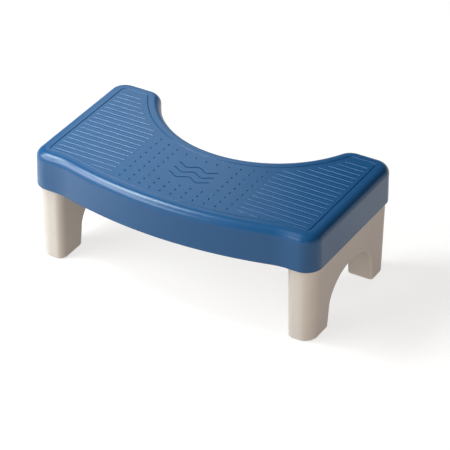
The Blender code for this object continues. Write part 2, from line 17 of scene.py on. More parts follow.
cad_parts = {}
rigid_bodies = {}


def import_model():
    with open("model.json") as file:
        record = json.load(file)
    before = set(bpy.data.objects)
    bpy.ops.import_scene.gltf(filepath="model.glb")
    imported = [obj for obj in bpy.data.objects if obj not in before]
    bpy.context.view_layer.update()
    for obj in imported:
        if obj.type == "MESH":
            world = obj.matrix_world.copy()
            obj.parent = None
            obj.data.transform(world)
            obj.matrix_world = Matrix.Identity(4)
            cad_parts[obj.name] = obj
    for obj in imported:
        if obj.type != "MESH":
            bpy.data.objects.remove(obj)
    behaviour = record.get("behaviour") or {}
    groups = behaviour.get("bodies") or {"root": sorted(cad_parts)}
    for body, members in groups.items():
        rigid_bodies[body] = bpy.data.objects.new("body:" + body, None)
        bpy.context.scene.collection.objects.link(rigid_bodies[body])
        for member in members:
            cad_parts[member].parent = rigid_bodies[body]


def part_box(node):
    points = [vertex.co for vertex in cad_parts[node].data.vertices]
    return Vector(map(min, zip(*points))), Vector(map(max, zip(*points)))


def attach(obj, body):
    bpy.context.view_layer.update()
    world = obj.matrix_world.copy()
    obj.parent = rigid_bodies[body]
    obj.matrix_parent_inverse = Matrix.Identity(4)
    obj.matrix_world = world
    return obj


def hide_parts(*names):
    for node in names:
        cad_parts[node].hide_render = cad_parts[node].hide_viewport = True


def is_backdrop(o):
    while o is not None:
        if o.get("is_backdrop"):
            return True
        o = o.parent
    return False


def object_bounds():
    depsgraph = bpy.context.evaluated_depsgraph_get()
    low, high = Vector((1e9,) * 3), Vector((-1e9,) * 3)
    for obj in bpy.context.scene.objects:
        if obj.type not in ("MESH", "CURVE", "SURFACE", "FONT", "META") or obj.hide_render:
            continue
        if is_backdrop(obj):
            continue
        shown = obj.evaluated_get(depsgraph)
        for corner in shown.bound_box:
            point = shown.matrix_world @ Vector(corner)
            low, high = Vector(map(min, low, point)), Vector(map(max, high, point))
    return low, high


bl_info = {
    "name": "Toilet footstool",
    "version": (1, 0, 0),
    "blender": (4, 5, 0),
    "location": "3D View > Sidebar > Footstool",
    "description": "Moulds the deck, leg frames and soles of a toilet footstool",
    "category": "Object",
}

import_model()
CAD_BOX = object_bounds()
DECK_LOW, DECK_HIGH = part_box("top_deck")
LEG_LOW, LEG_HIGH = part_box("leg_frame_right")

QUARTER = math.pi / 2
# Vertices nearer to each other than this are one
MERGE = 1e-6
# How far the solids' ribs rise over the top, and their flanges past the faces of the legs
RIB_HEIGHT = 0.0012
FLANGE_REACH = 0.0022
# The longest facet of a curve, the fewest facets of an arc, and how many more a tight one gets
FACET = 0.0025
FEWEST_FACETS = 4
EXTRA_FACETS = 4
# Facets across the rounding of an arch's rim, of a foot's lower edge and of a thin edge
RIM_FACETS = 6
FOOT_FACETS = 3
EDGE_FACETS = 2
# Facets round a rib, a dot and a stem, and rings over a whole rib and a whole dot
ROUND_FACETS = 16
STEM_FACETS = 32
RIB_RINGS = 7
DOT_RINGS = 10
# Each step across half of the groove: its share of the width, and of the depth
GROOVE_SHARES = ((0.14, 0.55), (0.18, 0.33), (0.18, 0.12))
# Cuts along a wave line, and how wide its floor is as a share of its mouth
WAVE_CUTS = 63
WAVE_FLOOR = 0.5
# A face whose normal rises less than this stands upright
UPRIGHT = 0.5
# Edges sharper than this, in degrees, stay crisp in the shading
SHARP = 35


def linear(code):
    """The scene-linear colour of an sRGB hex code."""
    shares = [int(code[i : i + 2], 16) / 255 for i in (1, 3, 5)]
    return tuple(c / 12.92 if c <= 0.04045 else ((c + 0.055) / 1.055) ** 2.4 for c in shares)


def size(name, description, default):
    """A length that a user may change."""
    return FloatProperty(
        name=name, description=description, default=default, min=0, precision=5, unit="LENGTH"
    )


def angle(name, description, degrees):
    """An angle that a user may change."""
    return FloatProperty(
        name=name, description=description, default=math.radians(degrees), subtype="ANGLE"
    )


def share(name, description, default):
    """A part of a whole that a user may change."""
    return FloatProperty(
        name=name, description=description, default=default, min=0, max=1, subtype="FACTOR"
    )


def colour(name, description, code):
    """A colour that a user may change, from its sRGB hex code."""
    return FloatVectorProperty(
        name=name, description=description, default=linear(code), min=0, max=1, subtype="COLOR"
    )


def watts(name, description, default):
    """A lamp's power that a user may change."""
    return FloatProperty(name=name, description=description, default=default, unit="POWER")


class FOOTSTOOL_PG_deck(bpy.types.PropertyGroup):
    """Sizes of the deck's shell."""

    length: size("Length", "From end to end", DECK_HIGH.x - DECK_LOW.x)
    depth: size("Depth", "From the bulging front to the rear", DECK_HIGH.y - DECK_LOW.y)
    top: size("Top", "Height of the flat top over the floor", DECK_HIGH.z - RIB_HEIGHT)
    skirt_low: size("Skirt edge", "Height of the skirt's lower edge over the floor", DECK_LOW.z)
    wall: size("Skirt wall", "Thickness of the skirt", 0.0025)
    top_wall: size("Top wall", "Thickness of the top", 0.003)
    draft: size("Draft", "How far the skirt leans in from its lower edge to the top", 0.0005)
    fillet: size("Edge radius", "Radius of the rounded upper edge", 0.012)
    bulge_rise: size("Bulge", "How far the front bulges past the two ends", 0.0235)
    sweep_radius: size("Sweep radius", "Radius of the hollow sweep beside the bulge", 0.100)
    corner_radius: size("Corner radius", "Radius of the four outer corners", 0.024)
    front_straight: size("Front straight", "Straight front edge at each end", 0.0126)
    rear_straight: size("Rear straight", "Straight rear edge of each arm", 0.0304)
    notch_depth: size("Notch depth", "How deep the notch reaches into the deck", 0.098)
    notch_corner_radius: size("Notch corner", "Radius where the notch meets the rear", 0.026)
    groove_inset: size("Groove inset", "From the outline to the groove's middle", 0.019)
    groove_width: size("Groove width", "Width of the groove round the top", 0.0016)
    groove_depth: size("Groove depth", "Depth of the groove round the top", 0.001)


class FOOTSTOOL_PG_grip(bpy.types.PropertyGroup):
    """Sizes of the raised grip pattern and the engraved waves."""

    rib_pitch: size("Rib pitch", "From one rib to the next", 0.0104)
    rib_width: size("Rib width", "Width of a rib at its foot", 0.002)
    rib_height: size("Rib height", "Height of a rib over the top", 0.0009)
    rib_root: size("Rib root", "How deep a rib's middle lies in the top", 0.0005)
    rib_rear_gap: size("Rib rear gap", "From the groove to the rear rib", 0.016)
    rib_end_gap: size("Rib end gap", "From the groove to the ribs' outer ends", 0.0046)
    rib_notch_gap: size("Rib notch gap", "From the groove to the rib ends at the notch", 0.0085)
    rib_front_gap: size("Rib front gap", "From the groove to the ribs at the front", 0.005)
    rib_dot_gap: size("Rib dot gap", "From the outer dots to the ribs", 0.0124)
    dot_columns: IntProperty(name="Dot columns", description="Columns of dots", default=11)
    dot_rows: IntProperty(name="Dot rows", description="Rows of dots", default=9)
    dot_spacing: size("Dot spacing", "From one column of dots to the next", 0.0163)
    dot_radius: size("Dot radius", "Radius of a dot at its foot", 0.0017)
    dot_height: size("Dot height", "Height of a dot over the top", 0.0012)
    dot_notch_gap: size("Dot notch gap", "From the groove to the rear dots", 0.0125)
    dot_front_gap: size("Dot front gap", "From the groove to the front dots", 0.0097)
    dot_root: size("Dot root", "How deep a dot's middle lies in the top", 0.0003)
    cleared_columns: IntProperty(
        name="Cleared columns", description="Columns that leave room for the waves", default=5
    )
    cleared_from: IntProperty(name="First cleared row", description="Counted from 0", default=1)
    cleared_to: IntProperty(name="Last cleared row", description="Counted from 0", default=5)
    wave_lines: IntProperty(name="Wave lines", description="Engraved wave lines", default=3)
    wave_turns: IntProperty(name="Wave turns", description="Full waves in a line", default=2)
    wave_span: size("Wave span", "Length of a wave line", 0.060)
    wave_spacing: size("Wave spacing", "From one wave line to the next", 0.0135)
    wave_swing: size("Wave swing", "How far a wave line swings to each side", 0.0035)
    wave_width: size("Wave width", "Width of an engraved line", 0.0026)
    wave_depth: size("Wave depth", "Depth of an engraved line", 0.0012)


class FOOTSTOOL_PG_underside(bpy.types.PropertyGroup):
    """Sizes of the stiffeners and leg sockets under the deck."""

    stiffener_wall: size("Stiffener wall", "Thickness of a stiffening rib", 0.002)
    stiffener_depth: size("Stiffener depth", "From the top down to a stiffener's edge", 0.025)
    stiffener_pitch: size("Stiffener pitch", "Largest distance between stiffeners", 0.040)
    socket_wall: size("Socket wall", "Thickness of a socket's inner wall", 0.002)
    socket_raise: size("Socket raise", "From the skirt's edge up to a socket's edge", 0.006)
    locator_wall: size("Locator wall", "Thickness of a rib that centres a plug", 0.002)
    locator_pitch: size("Locator pitch", "Largest distance between locators", 0.060)
    stop_pitch: size("Stop pitch", "Largest distance between the plugs' stops", 0.050)
    plug_clearance: size("Plug clearance", "Room between a plug and its socket", 0.0004)
    window_clearance: size("Window clearance", "Room round a snap barb", 0.0006)


class FOOTSTOOL_PG_legs(bpy.types.PropertyGroup):
    """Sizes of a leg frame."""

    outer_x: size("Outer face", "From the middle to a leg's outer face", LEG_HIGH.x - FLANGE_REACH)
    inner_x: size("Inner face", "From the middle to a leg's inner face", LEG_LOW.x + FLANGE_REACH)
    length: size("Length", "From the front to the rear face", LEG_HIGH.y - LEG_LOW.y - 2 * FLANGE_REACH)
    foot_low: size("Foot edge", "Height of the foot's lower edge over the floor", LEG_LOW.z)
    plug_top: size("Plug top", "Height of the plug's upper edge over the floor", LEG_HIGH.z)
    outer_corner: size("Outer corner", "Radius of the two outer corners", 0.0202)
    inner_corner: size("Inner corner", "Radius of the two inner corners", 0.012)
    draft: size("Draft", "How much narrower each side is at the floor", 0.0018)
    wall: size("Wall", "Thickness of the walls", 0.0025)
    flange_reach: size("Flange reach", "How far the flange stands out", FLANGE_REACH)
    flange_height: size("Flange height", "Thickness of the flange", 0.0022)
    flange_gap: size("Flange gap", "From the flange up to the skirt", 0.0003)
    flange_edge: size("Flange edge radius", "Radius of the flange's edges", 0.0004)
    plug_edge: size("Plug edge radius", "Radius of the plug's upper edge", 0.001)
    web_wall: size("Web wall", "Thickness of a web inside the frame", 0.002)
    web_pitch: size("Web pitch", "Largest distance between webs", 0.035)
    web_drop: size("Web drop", "From the plug's upper edge down to a web", 0.010)
    foot_edge: size("Foot edge radius", "Radius of the foot's lower edge", 0.001)
    foot_floor: size("Foot floor", "Thickness of the foot's floor", 0.005)
    front_foot: size("Front foot", "Length of the front foot", 0.049)
    rear_foot: size("Rear foot", "Length of the rear foot", 0.0416)
    arch_spring: size("Arch spring", "Height where the arch begins to curve", 0.027)
    arch_rise: size("Arch rise", "From there up to the arch's crown", 0.0426)
    arch_flare: size("Arch flare", "How much the arch widens to the floor on each side", 0.0029)
    arch_edge: size("Arch edge radius", "Radius of the arch's rounded rims", 0.005)
    barb_width: size("Barb width", "Width of a snap barb", 0.012)
    barb_height: size("Barb height", "Height of a snap barb", 0.008)
    barb_reach: size("Barb reach", "How far a snap barb stands out", 0.0018)
    barb_rise: size("Barb rise", "From the skirt's edge up to a snap barb", 0.016)
    barb_spacing: size("Barb spacing", "From one snap barb to the other", 0.110)


class FOOTSTOOL_PG_soles(bpy.types.PropertyGroup):
    """Sizes of a rubber sole."""

    thickness: size("Thickness", "Thickness of the sole", 0.003)
    corner: size("Corner radius", "Radius of the sole's corners", 0.010)
    edge: size("Edge radius", "Radius of the sole's lower edge", 0.0005)
    clearance: size("Clearance", "Room round the sole in its recess", 0.0003)
    stem_radius: size("Stem radius", "Radius of the stem", 0.0035)
    head_radius: size("Head radius", "Radius of the stem's head", 0.0046)
    head_height: size("Head height", "Height of the stem's head", 0.003)
    tread_inset: size("Tread inset", "From the sole's edge to its first tread groove", 0.004)
    tread_pitch: size("Tread pitch", "From one tread groove to the next", 0.003)
    tread_width: size("Tread width", "Width of a tread groove", 0.0012)
    tread_depth: size("Tread depth", "Depth of a tread groove", 0.0006)


class FOOTSTOOL_PG_finish(bpy.types.PropertyGroup):
    """Colours and textures of the two plastics and the rubber."""

    deck_colour: colour("Deck", "Pigment of the deck's polypropylene", "#1A5080")
    leg_colour: colour("Legs", "Pigment of the legs' polypropylene", "#DAD4CD")
    sole_colour: colour("Soles", "Colour of the soles' rubber", "#9E9992")
    deck_roughness: share("Deck roughness", "Roughness of the deck", 0.3)
    leg_roughness: share("Leg roughness", "Roughness of the legs", 0.42)
    sole_roughness: share("Sole roughness", "Roughness of the soles", 0.8)
    gloss: share("Gloss", "How strongly the surfaces mirror, where plain plastic is at a half", 0.45)
    grain: size("Grain", "Size of the mould's fine spark-eroded grain, as drawn", 0.0012)
    grain_depth: size("Grain depth", "Depth of that grain", 0.00002)
    haze: size("Haze", "Size of the soft patches that handling leaves", 0.018)
    haze_spread: share("Haze strength", "How much the haze changes the roughness", 0.02)
    streak: size("Streak", "Size of the faint streaks in the pigment", 0.045)
    streak_spread: share("Streak strength", "How much the streaks change the colour", 0.06)


class FOOTSTOOL_PG_studio(bpy.types.PropertyGroup):
    """Camera, floor, room and lamps."""

    azimuth: angle("Azimuth", "Turn of the camera from the front towards the right", 30.073)
    elevation: angle("Elevation", "Height of the camera over the horizon", 33.061)
    roll: angle("Roll", "Turn of the camera about its own axis", 0.348)
    distance: size("Distance", "From the aim to the camera", 3.3416)
    aim: FloatVectorProperty(
        name="Aim",
        description="Where the camera points",
        default=(0.1004, -0.1264, 0.1676),
        subtype="XYZ",
        unit="LENGTH",
    )
    lens: FloatProperty(name="Lens", description="Focal length", default=209.8, unit="CAMERA")
    floor_size: size("Floor", "Side of the square floor", 12.0)
    floor_colour: colour("Floor colour", "The floor as it is seen", "#AAA8A6")
    bounce_colour: colour("Bounce colour", "The floor as it lights the footstool from below", "#665B50")
    lift: share("Lift", "How far towards white the floor is lifted where it is seen", 0.7)
    backdrop: angle("Backdrop", "Height of the white backdrop over the horizon", 8)
    key_power: watts("Key", "Power of the wide lamp at the left", 31.0)
    key_colour: colour("Key colour", "Colour of that lamp", "#FAFCFF")
    high_power: watts("High", "Power of the close lamp high over the left end", 9.0)
    high_colour: colour("High colour", "Colour of that lamp", "#F3FFFF")
    front_power: watts("Front", "Power of the lamp at the front left", 12.0)
    front_colour: colour("Front colour", "Colour of that lamp", "#F6FFFF")
    warm_power: watts("Warm", "Power of the low, warm lamp at the front right", 20.0)
    warm_colour: colour("Warm colour", "Colour of that lamp", "#FFF2E8")
    side_power: watts("Side", "Power of the low, warm lamp at the right", 5.4)
    side_colour: colour("Side colour", "Colour of that lamp", "#FFE8DC")
    sheen_power: watts("Sheen", "Power of the lamp behind, whose reflection gives the top its sheen", 0.75)
    sheen_colour: colour("Sheen colour", "Colour of that lamp", "#EEFFFC")
    pool_power: watts("Pool", "Power of the lamp that shines on the floor before the left end", 0.8)
    pool_colour: colour("Pool colour", "Colour of that lamp", "#F4FFFE")
    rear_power: watts("Rear", "Power of the wide lamp behind", 13.0)
    rear_colour: colour("Rear colour", "Colour of that lamp", "#FFF4EC")
    world_level: share("World", "Brightness of the room", 0.02)


class Pen:
    """Draws an outline at one height as a chain of edges, by spinning and extruding its last vertex."""

    def __init__(self, bm, x, y, z):
        self.bm = bm
        self.last = bm.verts.new((x, y, z))
        self.verts = [self.last]

    def turn(self, x, y, turn, steps):
        """Goes round an upright axis."""
        centre = (x, y, self.last.co.z)
        self.last = spin_vert(self.bm, self.last, centre, (0, 0, 1), turn, steps)
        self.note()

    def go(self, x, y):
        """Goes straight on by a distance."""
        self.last = bmesh.ops.extrude_vert_indiv(self.bm, verts=[self.last])["verts"][0]
        bmesh.ops.translate(self.bm, verts=[self.last], vec=(x, y, 0))
        self.note()

    def note(self):
        """Keeps what has been drawn, from the first vertex to the last."""
        known = set(self.verts)
        at = self.verts[-1]
        while at != self.last:
            at = next(v for e in at.link_edges for v in e.verts if v not in known)
            known.add(at)
            self.verts.append(at)


def spin_vert(bm, vert, centre, axis, turn, steps):
    """Draws an arc of edges from a vertex. Returns the arc's last vertex."""
    made = bmesh.ops.spin(
        bm,
        geom=[vert],
        cent=centre,
        axis=axis,
        angle=turn,
        steps=steps,
        use_duplicate=False,
        use_merge=False,
    )
    return made["geom_last"][0]


def arc_steps(radius, turn):
    """How many facets an arc needs."""
    return max(FEWEST_FACETS, math.ceil(radius * abs(turn) / FACET))


def round_edges(bm, edges, radius, segments):
    """Rounds edges to a radius."""
    bmesh.ops.bevel(
        bm,
        geom=edges,
        offset=radius,
        offset_type="OFFSET",
        segments=segments,
        profile=0.5,
        affect="EDGES",
        material=-1,
    )


def plan_of(deck):
    """Centres and radii of the deck's plan, which the outline, grip pattern and underside share."""
    side = deck.length / 2
    front, rear = -deck.depth / 2, deck.depth / 2
    sweep_x = side - deck.corner_radius - deck.front_straight
    arm_x = side - deck.corner_radius - deck.rear_straight
    bulge = (sweep_x**2 / deck.bulge_rise + deck.bulge_rise) / 2 - deck.sweep_radius
    notch = (arm_x**2 / deck.notch_depth + deck.notch_depth) / 2 - deck.notch_corner_radius
    return SimpleNamespace(
        side=side,
        front=front,
        rear=rear,
        end_front=front + deck.bulge_rise,
        sweep_x=sweep_x,
        arm_x=arm_x,
        bulge=bulge,
        bulge_y=front + bulge,
        notch=notch,
        notch_y=rear - deck.notch_depth + notch,
    )


def deck_outline(bm, deck, inset, z):
    """The deck's plan, moved in by a distance. Returns its closed loop of edges."""
    before = set(bm.edges)
    plan = plan_of(deck)
    corner_x = plan.side - deck.corner_radius
    corner_y = plan.end_front + deck.corner_radius
    arm_y = plan.rear - deck.notch_corner_radius
    lean = math.asin(plan.sweep_x / (plan.bulge + deck.sweep_radius))
    wrap = math.atan2(plan.notch_y - arm_y, -plan.arm_x) - QUARTER
    corner_steps = arc_steps(deck.corner_radius, QUARTER)
    pen = Pen(bm, 0, plan.front + inset, z)
    pen.turn(0, plan.bulge_y, lean, arc_steps(plan.bulge, lean))
    sweep_y = plan.end_front - deck.sweep_radius
    pen.turn(plan.sweep_x, sweep_y, -lean, arc_steps(deck.sweep_radius, lean))
    pen.go(deck.front_straight, 0)
    pen.turn(corner_x, corner_y, QUARTER, corner_steps)
    pen.go(0, plan.rear - deck.corner_radius - corner_y)
    pen.turn(corner_x, plan.rear - deck.corner_radius, QUARTER, corner_steps)
    pen.go(-deck.rear_straight, 0)
    pen.turn(plan.arm_x, arm_y, wrap, arc_steps(deck.notch_corner_radius, wrap))
    pen.turn(0, plan.notch_y, -wrap, arc_steps(plan.notch, wrap))
    pen.last.co.x = 0
    half = [e for e in bm.edges if e not in before]
    bmesh.ops.mirror(
        bm, geom=pen.verts + half, matrix=Matrix.Identity(4), merge_dist=MERGE, axis="X"
    )
    return [e for e in bm.edges if e not in before]


def deck_hull(bm, deck, inset, top, fillet, closed=False):
    """Skirt and rounded top over the deck's plan. Returns the lower loop of edges and the top face."""
    before = set(bm.faces)
    low = deck_outline(bm, deck, inset, deck.skirt_low)
    made = bmesh.ops.extrude_edge_only(bm, edges=low)["geom"]
    high_verts = [g for g in made if isinstance(g, bmesh.types.BMVert)]
    found = set(high_verts)
    bmesh.ops.translate(bm, verts=high_verts, vec=(0, 0, top - deck.skirt_low))
    high = [e for v in high_verts for e in v.link_edges if e.other_vert(v) in found]
    high = list(dict.fromkeys(high))
    bmesh.ops.contextual_create(bm, geom=high)
    faces = [f for f in bm.faces if f not in before]
    bmesh.ops.recalc_face_normals(bm, faces=faces)
    cap = max(faces, key=lambda f: f.calc_area())
    if cap.normal.z < 0:
        bmesh.ops.reverse_faces(bm, faces=faces)
    bm.normal_update()
    for vert in high_verts:
        outward = Vector((vert.normal.x, vert.normal.y, 0)).normalized()
        vert.co -= outward * deck.draft
    round_edges(bm, high, fillet, math.ceil(fillet * QUARTER / FACET) + EXTRA_FACETS)
    faces = [f for f in bm.faces if f not in before]
    cap = max(faces, key=lambda f: f.calc_area() * f.normal.z)
    if closed:
        bmesh.ops.contextual_create(bm, geom=low)
    return low, cap


def sink_groove(bm, deck, cap):
    """Sinks a round-bottomed groove into the top by insetting it again and again."""

    def inset(thickness, depth):
        bmesh.ops.inset_region(
            bm,
            faces=[cap],
            thickness=thickness,
            depth=depth,
            use_boundary=True,
            use_even_offset=True,
        )

    margin = deck.groove_inset - deck.groove_width / 2 - deck.draft - deck.fillet
    support = margin / 4
    inset(support, 0)
    inset(margin - support, 0)
    for across, down in GROOVE_SHARES:
        inset(across * deck.groove_width, -down * deck.groove_depth)
    for across, down in reversed(GROOVE_SHARES):
        inset(across * deck.groove_width, down * deck.groove_depth)
    inset(support, 0)


def new_object(name, bm, material=None):
    """A scene object from a bmesh, at the origin."""
    mesh = bpy.data.meshes.new(name)
    bm.to_mesh(mesh)
    bm.free()
    made = bpy.data.objects.new(name, mesh)
    bpy.context.scene.collection.objects.link(made)
    if material:
        mesh.materials.append(material)
    return made


def combine(piece, tool, operation):
    """Cuts, joins or keeps what is common with another body, which is then removed."""
    modifier = piece.modifiers.new(tool.name, "BOOLEAN")
    modifier.operation = operation
    modifier.solver = "EXACT"
    modifier.object = tool
    graph = bpy.context.evaluated_depsgraph_get()
    mesh = bpy.data.meshes.new_from_object(piece.evaluated_get(graph), depsgraph=graph)
    if not mesh.polygons:
        raise RuntimeError(f"{tool.name} leaves nothing of {piece.name}")
    piece.modifiers.remove(modifier)
    old = piece.data
    piece.data = mesh
    bpy.data.meshes.remove(old)
    old = tool.data
    bpy.data.objects.remove(tool)
    bpy.data.meshes.remove(old)


def finish_piece(piece, replaced):
    """Rounds the shading, hangs the piece on the root body, and hides the solid that it replaces."""
    bm = bmesh.new()
    bm.from_mesh(piece.data)
    bmesh.ops.remove_doubles(bm, verts=bm.verts, dist=MERGE)
    bmesh.ops.dissolve_degenerate(bm, edges=bm.edges, dist=MERGE)
    loose = [e for e in bm.edges if not e.link_faces]
    bmesh.ops.delete(bm, geom=loose, context="EDGES")
    bmesh.ops.recalc_face_normals(bm, faces=bm.faces)
    bm.to_mesh(piece.data)
    bm.free()
    piece.data.shade_smooth()
    piece.data.set_sharp_from_angle(angle=math.radians(SHARP))
    weighted = piece.modifiers.new("even_flats", "WEIGHTED_NORMAL")
    weighted.mode = "FACE_AREA"
    weighted.keep_sharp = True
    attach(piece, "root")
    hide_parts(replaced)


def add_box(bm, low, high):
    """An upright box between two corners. Returns its vertices."""
    middle = (Vector(low) + Vector(high)) / 2
    extent = Vector(high) - Vector(low)
    matrix = Matrix.Translation(middle) @ Matrix.Diagonal((*extent, 1))
    return bmesh.ops.create_cube(bm, size=1, matrix=matrix)["verts"]


def add_rib(bm, start, end, y, width, height, foot):
    """A round-topped bar along X with round ends: a ball whose two halves are drawn apart."""
    radius = width / 2
    middle = (start + end) / 2
    apart = (end - start) / 2 - radius
    turned = Matrix.Translation((middle, y, foot)) @ Matrix.Rotation(QUARTER, 4, "Y")
    ball = bmesh.ops.create_uvsphere(
        bm, u_segments=ROUND_FACETS, v_segments=RIB_RINGS, radius=radius, matrix=turned
    )
    for vert in ball["verts"]:
        vert.co.x += math.copysign(apart, vert.co.x - middle)
        if vert.co.z > foot:
            vert.co.z = foot + (vert.co.z - foot) * height / radius


def add_dot(bm, x, y, radius, height, foot):
    """A low dome."""
    place = Matrix.Translation((x, y, foot))
    ball = bmesh.ops.create_uvsphere(
        bm, u_segments=ROUND_FACETS, v_segments=DOT_RINGS, radius=radius, matrix=place
    )
    for vert in ball["verts"]:
        vert.co.z = foot + (vert.co.z - foot) * height / radius


def rib_spans(deck, grip):
    """Each rib on the +X side, rear one first, as its place and its two ends."""
    plan = plan_of(deck)
    dots_x = grip.dot_spacing * (grip.dot_columns - 1) / 2
    notch = plan.notch + deck.groove_inset + grip.rib_notch_gap
    bulge = plan.bulge - deck.groove_inset - grip.rib_front_gap
    y = plan.rear - deck.groove_inset - grip.rib_rear_gap
    while y > plan.bulge_y - bulge:
        inner = dots_x + grip.rib_dot_gap
        from_notch = notch**2 - (plan.notch_y - y) ** 2
        if from_notch > inner**2:
            inner = math.sqrt(from_notch)
        outer = plan.side - deck.groove_inset - grip.rib_end_gap
        if y < plan.end_front + deck.groove_inset + grip.rib_front_gap:
            outer = min(outer, math.sqrt(max(bulge**2 - (plan.bulge_y - y) ** 2, 0)))
        if outer - inner > grip.rib_pitch:
            yield y, inner, outer
        y -= grip.rib_pitch


def dot_row(deck, grip, x):
    """The rear and front ends of the column of dots at one place."""
    plan = plan_of(deck)
    notch = plan.notch + deck.groove_inset + grip.dot_notch_gap
    bulge = plan.bulge - deck.groove_inset - grip.dot_front_gap
    return plan.notch_y - math.sqrt(notch**2 - x**2), plan.bulge_y - math.sqrt(bulge**2 - x**2)


def dot_places(deck, grip):
    """Each dot's place, spread evenly from the notch to the front in its column."""
    middle = grip.dot_columns // 2
    for column in range(-middle, middle + 1):
        x = column * grip.dot_spacing
        back, front = dot_row(deck, grip, x)
        for row in range(grip.dot_rows):
            near = abs(column) <= grip.cleared_columns // 2
            if not (near and grip.cleared_from <= row <= grip.cleared_to):
                yield x, back + (front - back) * row / (grip.dot_rows - 1)


def rooted(width, height, root):
    """The width and height of a round form that has the given ones where it leaves the top."""
    rise = height + root
    return width / math.sqrt(1 - (root / rise) ** 2), rise


def grip_body(deck, grip):
    """All ribs and dots, rooted in the top."""
    bm = bmesh.new()
    width, rise = rooted(grip.rib_width, grip.rib_height, grip.rib_root)
    for y, inner, outer in rib_spans(deck, grip):
        for start, end in ((inner, outer), (-outer, -inner)):
            add_rib(bm, start, end, y, width, rise, deck.top - grip.rib_root)
    radius, rise = rooted(grip.dot_radius, grip.dot_height, grip.dot_root)
    for x, y in dot_places(deck, grip):
        add_dot(bm, x, y, radius, rise, deck.top - grip.dot_root)
    return new_object("grip_body", bm)


def wave_body(deck, grip):
    """The engraved waves: bars that are cut across many times and then swung from side to side."""
    bm = bmesh.new()
    middle = (grip.cleared_from + grip.cleared_to) / 2
    back, front = dot_row(deck, grip, 0)
    middle_y = back + (front - back) * middle / (grip.dot_rows - 1)
    first_y = middle_y - (grip.wave_lines - 1) / 2 * grip.wave_spacing
    half = grip.wave_width / 2
    for line in range(grip.wave_lines):
        line_y = first_y + line * grip.wave_spacing
        low = (-grip.wave_span / 2, line_y - half, deck.top - grip.wave_depth)
        high = (grip.wave_span / 2, line_y + half, deck.top + grip.wave_depth)
        add_box(bm, low, high)
    along = [e for e in bm.edges if abs(e.verts[0].co.x - e.verts[1].co.x) > grip.wave_width]
    bmesh.ops.subdivide_edges(bm, edges=along, cuts=WAVE_CUTS, use_grid_fill=True)
    pitch = math.tau * grip.wave_turns / grip.wave_span
    for vert in bm.verts:
        line_y = first_y + round((vert.co.y - first_y) / grip.wave_spacing) * grip.wave_spacing
        slope = grip.wave_swing * pitch * math.sin(pitch * vert.co.x)
        narrowing = 1 if vert.co.z > deck.top else WAVE_FLOOR
        across = (vert.co.y - line_y) * narrowing * math.sqrt(1 + slope**2)
        vert.co.y = line_y + grip.wave_swing * math.cos(pitch * vert.co.x) + across
    return new_object("wave_body", bm)


def evenly(low, high, pitch):
    """Places between two limits, a pitch apart or less, with as much room left at each end."""
    count = max(1, math.ceil((high - low) / pitch) - 1)
    return [low + (high - low) * (i + 1) / (count + 1) for i in range(count)]


def plate_body(name, boxes, bound):
    """Upright plates under the deck, kept to the space within its walls."""
    bm = bmesh.new()
    for low, high in boxes:
        add_box(bm, low, high)
    plates = new_object(name, bm)
    combine(plates, bound, "INTERSECT")
    return plates


def cross_plates(deck, under, legs):
    """Plates along Y: stiffeners, the sockets' inner walls, and locators before and behind the plugs."""
    front, rear = -deck.depth / 2, deck.depth / 2
    socket_x = legs.inner_x - under.plug_clearance - under.socket_wall / 2
    half = under.stiffener_wall / 2
    low = deck.top - under.stiffener_depth
    for x in evenly(-socket_x, socket_x, under.stiffener_pitch):
        yield (x - half, front, low), (x + half, rear, deck.top)
    low = deck.skirt_low + under.socket_raise
    half = under.socket_wall / 2
    for x in (-socket_x, socket_x):
        yield (x - half, front, low), (x + half, rear, deck.top)
    half = under.locator_wall / 2
    leg_front, leg_rear = leg_ends(legs)
    for side in (-1, 1):
        for corner in (legs.inner_x + legs.inner_corner, legs.outer_x - legs.outer_corner):
            x = side * corner
            yield (x - half, front, low), (x + half, leg_front - under.plug_clearance, deck.top)
            yield (x - half, leg_rear + under.plug_clearance, low), (x + half, rear, deck.top)


def long_plates(deck, under, legs):
    """Plates along X: stiffeners between the sockets, stops over the plugs, and locators beside them."""
    socket_x = legs.inner_x - under.plug_clearance - under.socket_wall / 2
    half = under.stiffener_wall / 2
    low = deck.top - under.stiffener_depth
    for y in evenly(-deck.depth / 2, deck.depth / 2 - deck.notch_depth, under.stiffener_pitch):
        yield (-socket_x, y - half, low), (socket_x, y + half, deck.top)
    for side in (-1, 1):
        stop_low = legs.plug_top + legs.flange_gap
        for y in evenly(*leg_ends(legs), under.stop_pitch):
            yield side_span(side, socket_x, deck.length / 2, y, half, stop_low, deck.top)
        near = legs.outer_x + under.plug_clearance
        low = deck.skirt_low + under.socket_raise
        for y in evenly(*leg_ends(legs), under.locator_pitch):
            y += under.stiffener_wall + under.locator_wall
            yield side_span(
                side, near, deck.length / 2, y, under.locator_wall / 2, low, deck.top
            )


def side_span(side, near, far, y, half, low, high):
    """The two corners of a plate along X, on one side of the middle."""
    near, far = sorted((side * near, side * far))
    return (near, y - half, low), (far, y + half, high)


def bound_body(deck):
    """The space under the deck, half way into its walls."""
    bm = bmesh.new()
    inset = deck.wall / 2
    deck_hull(bm, deck, inset, deck.top - deck.top_wall / 2, deck.fillet - inset, closed=True)
    return new_object("bound", bm)


def barb_places(legs):
    """The places of a leg frame's two snap barbs along Y."""
    middle = leg_middle(legs)
    return middle - legs.barb_spacing / 2, middle + legs.barb_spacing / 2


def leg_middle(legs):
    """Half way along a leg frame."""
    return sum(leg_ends(legs)) / 2


def leg_ends(legs):
    """The front and rear faces of a leg frame."""
    return LEG_LOW.y + legs.flange_reach, LEG_HIGH.y - legs.flange_reach


